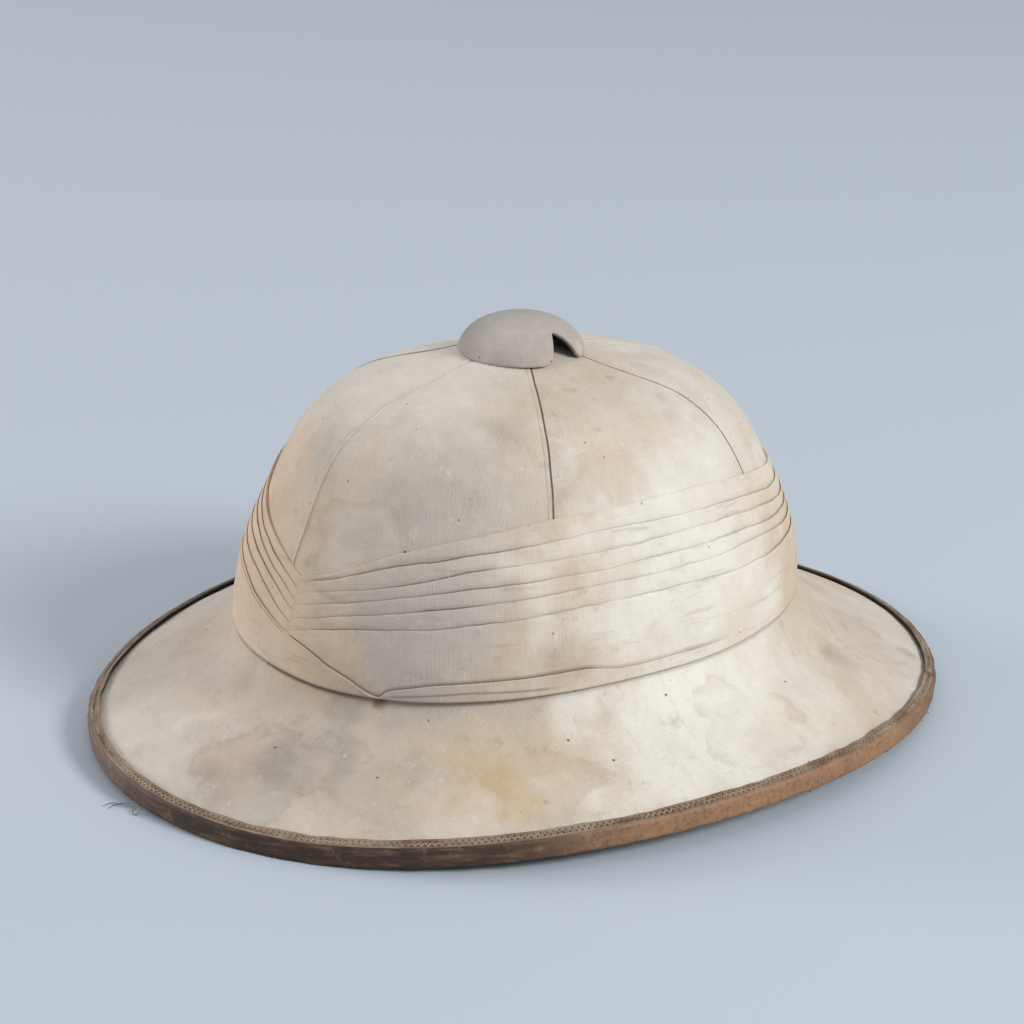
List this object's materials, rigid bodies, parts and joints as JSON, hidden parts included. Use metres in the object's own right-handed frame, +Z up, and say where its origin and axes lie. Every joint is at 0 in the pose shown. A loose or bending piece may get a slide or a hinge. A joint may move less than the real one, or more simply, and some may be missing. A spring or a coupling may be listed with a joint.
{
  "type": "pith helmet",
  "caption": "Sun helmet with a rounded crown, a flared oval brim bound in leather, a pleated cloth band and a domed vent cap on top.",
  "frame": {"origin": "on the floor under the middle of the brim's outline", "axes": "+Z up, -Y towards the front where the band's mitre is, +X towards the wearer's left"},
  "size_m": [0.289, 0.3542, 0.1603],
  "materials": {
    "canvas": "matte aged ivory canvas with tan and grey stains",
    "binding_leather": "worn brown leather, scuffed to tan at its edges",
    "band_cloth": "matte aged cream cotton, pleated",
    "cap_cloth": "matte smooth cloth, lightly soiled",
    "post_metal": "dull"
  },
  "bodies": {
    "root": {"crown_shell": "canvas", "brim_shell": "canvas", "brim_binding": "binding_leather", "pugaree": "band_cloth", "crown_seam_1": "canvas", "crown_seam_2": "canvas", "crown_seam_3": "canvas", "crown_seam_4": "canvas", "crown_seam_5": "canvas", "crown_seam_6": "canvas", "vent_cap": "cap_cloth", "vent_post": "post_metal"}
  },
  "joints": []
}
